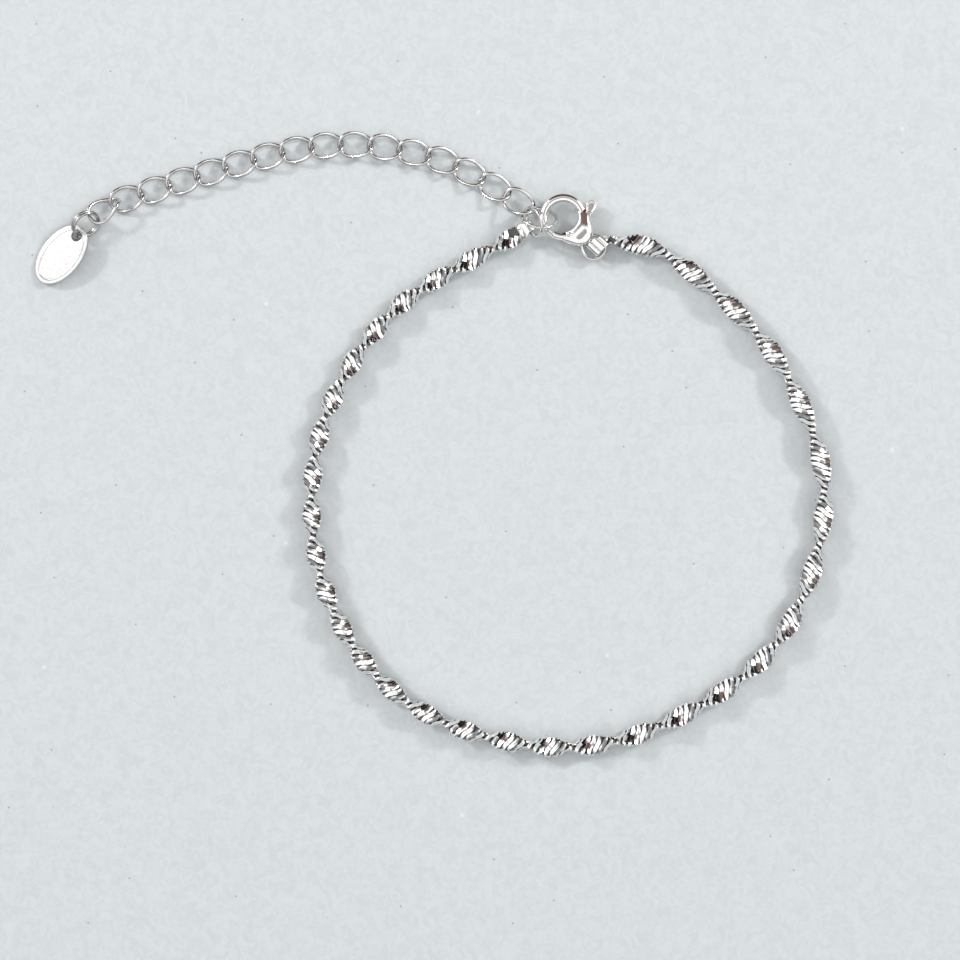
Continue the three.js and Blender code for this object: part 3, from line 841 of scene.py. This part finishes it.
# ---- Extension chain ------------------------------------------------------------------
# Sixteen oval curb links of drawn silver wire, each turned a little about its length so
# that the chain lies flat. The rings hold the end links off the floor.
LINK_LENGTH = 3.92
LINK_WIDTH = 2.9
LINK_WIRE = 0.39
LINK_TURN = 0.42  # how far its corners are bent up and down out of its plane
LINK_COUNT = 16
LINK_REST_HEIGHT = 0.61
EXTENSION_CORNERS = [(-34.1, 24.7), (-32.2, 25.7), (-12.7, 31.2), (0.1, 30.2), (9.5, 25.48)]
LIFTED_LINKS = {  # x, y, z, then heading, pitch and roll in degrees
    1: (-34.078, 24.7, 1.09, 33.2, 4.2, -28.8),
    16: (9.323, 25.351, 1.343, -32.9, -14.5, -9.9),
}
LINK_15_HEIGHT = 0.72  # between the links that lie flat and the lifted last one
LINK_15_PITCH = -5
# The links' darker silver tone is partly the plain drawn wire's own duller silver and partly
# painted shade, standing in for the dimmer reflections at this end of the bracelet.
link_silver_and_shade = polished_silver(
    "link_silver_and_shade", (0.62, 0.61, 0.6), roughness=0.13, scratch_depth=0.05, tarnish=0.3
)


def link_tree():
    """Bends a round wire into one oval link, and sets a copy of it at every point."""
    tree, given, result = new_tree("oval_links", {
        "Length": "NodeSocketFloat", "Width": "NodeSocketFloat", "Wire": "NodeSocketFloat",
        "Turn": "NodeSocketFloat", "Silver": "NodeSocketMaterial",
    })
    ring_line = add_node(tree, "GeometryNodeCurvePrimitiveCircle", {
        "Resolution": 40, "Radius": 1.0,
    })
    unit = add_node(tree, "ShaderNodeSeparateXYZ", {
        "Vector": add_node(tree, "GeometryNodeInputPosition", {}).outputs["Position"],
    }).outputs
    half_length = calc(
        tree, "MULTIPLY", calc(tree, "SUBTRACT", given["Length"], given["Wire"]), 0.5
    )
    half_width = calc(
        tree, "MULTIPLY", calc(tree, "SUBTRACT", given["Width"], given["Wire"]), 0.5
    )
    corner = calc(tree, "MULTIPLY", calc(tree, "MULTIPLY", unit["X"], unit["Y"]), -2.0)
    oval_line = add_node(tree, "GeometryNodeSetPosition", {
        "Geometry": ring_line.outputs["Curve"],
        "Position": add_node(tree, "ShaderNodeCombineXYZ", {
            "X": calc(tree, "MULTIPLY", unit["X"], half_length),
            "Y": calc(tree, "MULTIPLY", unit["Y"], half_width),
            "Z": calc(tree, "MULTIPLY", corner, given["Turn"]),
        }).outputs["Vector"],
    })
    section = add_node(tree, "GeometryNodeCurvePrimitiveCircle", {
        "Resolution": 12, "Radius": calc(tree, "MULTIPLY", given["Wire"], 0.5),
    })
    link = add_node(tree, "GeometryNodeCurveToMesh", {
        "Curve": oval_line.outputs["Geometry"], "Profile Curve": section.outputs["Curve"],
    })
    links = add_node(tree, "GeometryNodeInstanceOnPoints", {
        "Points": given["Geometry"], "Instance": link.outputs["Mesh"],
        "Rotation": add_node(tree, "FunctionNodeAxesToRotation", {
            "Primary Axis": add_node(tree, "GeometryNodeInputNamedAttribute", {
                "Name": "along",
            }, data_type="FLOAT_VECTOR").outputs["Attribute"],
            "Secondary Axis": add_node(tree, "GeometryNodeInputNamedAttribute", {
                "Name": "across",
            }, data_type="FLOAT_VECTOR").outputs["Attribute"],
        }, primary_axis="X", secondary_axis="Y").outputs["Rotation"],
    })
    plain = add_node(tree, "GeometryNodeRealizeInstances", {
        "Geometry": links.outputs["Instances"],
    })
    silvered = add_node(tree, "GeometryNodeSetMaterial", {
        "Geometry": plain.outputs["Geometry"], "Material": given["Silver"],
    })
    tree.links.new(silvered.outputs["Geometry"], result["Geometry"])
    return tree


extension_path = smooth_path(EXTENSION_CORNERS, steps=200)
link_middles = []
link_axes = {"along": [], "across": []}
for number in range(1, LINK_COUNT + 1):
    point, along = along_path(
        extension_path, extension_path[1][-1] * (number - 1) / (LINK_COUNT - 1)
    )
    heading = math.degrees(math.atan2(along.y, along.x))
    height, pitch = (LINK_15_HEIGHT, LINK_15_PITCH) if number == 15 else (LINK_REST_HEIGHT, 0)
    level = (point.x, point.y, height, heading, pitch, 0)
    x, y, z, heading, pitch, roll = LIFTED_LINKS.get(number, level)
    turned = (
        Matrix.Rotation(math.radians(heading), 3, "Z")
        @ Matrix.Rotation(math.radians(pitch), 3, "Y")
        @ Matrix.Rotation(math.radians(roll), 3, "X")
    )
    link_middles.append((x, y, z))
    link_axes["along"].extend(turned.col[0])
    link_axes["across"].extend(turned.col[1])
points_mesh = bpy.data.meshes.new("link_points")
points_mesh.from_pydata(link_middles, [], [])
for axis, values in link_axes.items():
    points_mesh.attributes.new(axis, "FLOAT_VECTOR", "POINT").data.foreach_set("vector", values)
links_mesh = run_tree("links", points_mesh, link_tree(), {
    "Length": LINK_LENGTH, "Width": LINK_WIDTH, "Wire": LINK_WIRE, "Turn": LINK_TURN,
    "Silver": link_silver_and_shade,
})
link_nodes = [f"extension_link_{number:02}" for number in range(1, LINK_COUNT + 1)]
fit_piece("extension_chain", links_mesh, link_silver_and_shade, link_nodes)


# ---- Tag ------------------------------------------------------------------------------
# An oval plate stamped from sheet, with a softly rounded edge, one hole and a fine raised
# border. Its face is left plain.
TAG_PLACE = (-38.61, 19.94, 0.779)
TAG_HEADING = 47.5  # degrees, as the next two
TAG_TILT = 10.2  # one long side is lower than the other
TAG_RAISE = 7.3  # and the end with the hole is raised
TAG_LENGTH = 7.2
TAG_WIDTH = 4.4
TAG_THICKNESS = 0.38
TAG_EDGE = 0.07
TAG_HOLE_FROM_TIP = 1.02
TAG_HOLE_RADIUS = 0.56
BORDER_INSET = 0.45
BORDER_WIRE = 0.16
BORDER_SINK = 0.03  # from the tag's face down to the middle of the border's wire
tag_silver = polished_silver(
    "tag_silver", (0.6, 0.595, 0.59), roughness=0.34, scratch_depth=0.3, tarnish=0.35
)


def oval(half_length, half_width, middle=0.0, steps=96):
    """Points round an oval whose middle lies on the X axis."""
    turns = [2 * math.pi * step / steps for step in range(steps)]
    return [(middle + half_length * math.cos(t), half_width * math.sin(t)) for t in turns]


outline = bpy.data.curves.new("tag_outline", "CURVE")
outline.dimensions = "2D"
outline.fill_mode = "BOTH"
outline.extrude = TAG_THICKNESS / 2 - TAG_EDGE
outline.bevel_depth = TAG_EDGE
outline.bevel_resolution = 4
outline.offset = -TAG_EDGE
hole_middle = TAG_LENGTH / 2 - TAG_HOLE_FROM_TIP
for points in (
    oval(TAG_LENGTH / 2, TAG_WIDTH / 2),
    oval(TAG_HOLE_RADIUS, TAG_HOLE_RADIUS, hole_middle, steps=40),
):
    spline = outline.splines.new("POLY")
    spline.points.add(len(points) - 1)
    for target, (x, y) in zip(spline.points, points):
        target.co = (x, y, 0, 1)
    spline.use_cyclic_u = True
tag_plate = finished_mesh(shown_object("tag_plate", outline))
border = [
    Vector((x, y, TAG_THICKNESS / 2 - BORDER_SINK))
    for x, y in oval(TAG_LENGTH / 2 - BORDER_INSET, TAG_WIDTH / 2 - BORDER_INSET)
]
tag_mesh = joined([tag_plate, wire_mesh(border, BORDER_WIRE, sides=8)])
tag_mesh.transform(
    Matrix.Translation(TAG_PLACE)
    @ Matrix.Rotation(math.radians(TAG_HEADING), 4, "Z")
    @ Matrix.Rotation(math.radians(-TAG_TILT), 4, "X")
    @ Matrix.Rotation(math.radians(-TAG_RAISE), 4, "Y")
)
fit_piece("oval_tag", tag_mesh, tag_silver, ["tag"], crease=50)


# ---- Floor, light and camera ----------------------------------------------------------
# A sheet of pale paper under two soft lights, low on the left and on the right. The silver
# mirrors a bright ceiling with a dimmer patch in its middle, warm patches at the sides, dim
# walls and one unlit end of the room.
FLOOR_SIZE = 3.0
PAPER_SHADES = ((0.527, 0.561, 0.572, 1), (0.577, 0.605, 0.616, 1))
PAPER_SPECKS = (  # cells in a metre, a speck's reach in its cell, its shade
    (80, 0.012, 0.2), (33, 0.01, 0.72),
)
floor_mesh = bpy.data.meshes.new("floor")
half = FLOOR_SIZE / 2
floor_mesh.from_pydata(
    [(-half, -half, 0), (half, -half, 0), (half, half, 0), (-half, half, 0)], [], [(0, 1, 2, 3)]
)
floor = shown_object("floor", floor_mesh)
paper = bpy.data.materials.new("pale_paper")
paper.use_nodes = True
paper_shader = paper.node_tree.nodes["Principled BSDF"]
paper_shader.inputs["Roughness"].default_value = 0.85
paper_shader.inputs["Specular IOR Level"].default_value = 0.2
fibre_place = add_node(paper.node_tree, "ShaderNodeTexCoord", {}).outputs["Object"]
fibres = add_node(paper.node_tree, "ShaderNodeTexNoise", {
    "Vector": fibre_place, "Scale": 900, "Detail": 3, "Roughness": 0.6, "Distortion": 1.5,
})
mottle = add_node(paper.node_tree, "ShaderNodeValToRGB", {"Fac": fibres.outputs["Fac"]})
for stop, position, shade in zip(mottle.color_ramp.elements, (0.36, 0.62), PAPER_SHADES):
    stop.position = position
    stop.color = shade
flecked = mottle.outputs["Color"]
for cells, reach, shade in PAPER_SPECKS:
    speck = add_node(paper.node_tree, "ShaderNodeTexVoronoi", {
        "Vector": fibre_place, "Scale": cells,
    }, voronoi_dimensions="2D")
    fleck = add_node(paper.node_tree, "ShaderNodeMapRange", {
        "Value": speck.outputs["Distance"], "From Min": reach * 0.3, "From Max": reach,
        "To Min": 0.7, "To Max": 0.0,
    })
    flecked = add_node(paper.node_tree, "ShaderNodeMix", {
        "Factor": fleck.outputs["Result"], 6: flecked, 7: (shade, shade, shade, 1),
    }, data_type="RGBA").outputs[2]
paper.node_tree.links.new(flecked, paper_shader.inputs["Base Color"])
floor_mesh.materials.append(paper)

LEFT_LAMP = (-0.45, 0.27, 0.32)
RIGHT_LAMP = (0.45, 0.24, 0.32)
LAMPS = {  # place, width and power of each soft light
    "lamp_left": (LEFT_LAMP, 0.06, 1.25),
    "lamp_right": (RIGHT_LAMP, 0.06, 1.2),
}
for name, (place, width, power) in LAMPS.items():
    light = bpy.data.lights.new(name, "AREA")
    light.size = width
    light.energy = power
    lamp = bpy.data.objects.new(name, light)
    lamp.location = place
    lamp.rotation_euler = Vector(place).to_track_quat("Z", "Y").to_euler()
    bpy.context.collection.objects.link(lamp)

room = bpy.data.worlds.new("room")
bpy.context.scene.world = room
room.use_nodes = True
room_tree = room.node_tree
way = add_node(room_tree, "ShaderNodeTexCoord", {}).outputs["Generated"]
ROOM_PATCHES = [  # direction from the bracelet, inner and outer reach, colour
    ((0, -0.28, 1), 0.7, 0.92, (1.22, 1.23, 1.24)),  # bright ceiling
    ((0.1, 1, 0.75), 0.46, 0.58, (0.21, 0.14, 0.125)),  # warm and dark, as of hands
    ((1, 0.3, 0.4), 0.2, 0.35, (0.36, 0.25, 0.22)),  # warm, as of sleeves
    ((-1, 0.3, 0.4), 0.15, 0.3, (0.36, 0.25, 0.22)),
    ((0, 1, 0.1), 0.5, 0.6, (0.012, 0.012, 0.012)),  # unlit end of the room
    (LEFT_LAMP, 0.3, 0.42, (2.2, 2.2, 2.2)),  # glow round the lamps
    (RIGHT_LAMP, 0.3, 0.42, (2.2, 2.2, 2.2)),
    ((0, 0.05, 1), 0.2, 0.3, (0.42, 0.4, 0.375)),  # dimmer middle of the ceiling
]
WALLS = (0.27, 0.27, 0.275, 1)
seen = WALLS
for direction, inner, outer, colour in ROOM_PATCHES:
    away = add_node(room_tree, "ShaderNodeVectorMath", {
        0: way, 1: Vector(direction).normalized(),
    }, operation="DISTANCE")
    edge = add_node(room_tree, "ShaderNodeMapRange", {
        "Value": away.outputs["Value"], "From Min": inner, "From Max": outer,
        "To Min": 1.0, "To Max": 0.0,
    })
    seen = add_node(room_tree, "ShaderNodeMix", {
        "Factor": edge.outputs["Result"], 6: seen, 7: (*colour, 1),
    }, data_type="RGBA").outputs[2]
room_tree.links.new(seen, room_tree.nodes["Background"].inputs["Color"])

CAMERA_PLACE = (0.00475, -0.00377, 0.2385)  # straight above, looking down
lens = bpy.data.cameras.new("camera")
lens.lens = 85
lens.sensor_width = 36
lens.clip_start = 0.01
camera = bpy.data.objects.new("camera", lens)
camera.location = CAMERA_PLACE
bpy.context.collection.objects.link(camera)
bpy.context.scene.camera = camera
bpy.context.scene.view_settings.view_transform = "Standard"
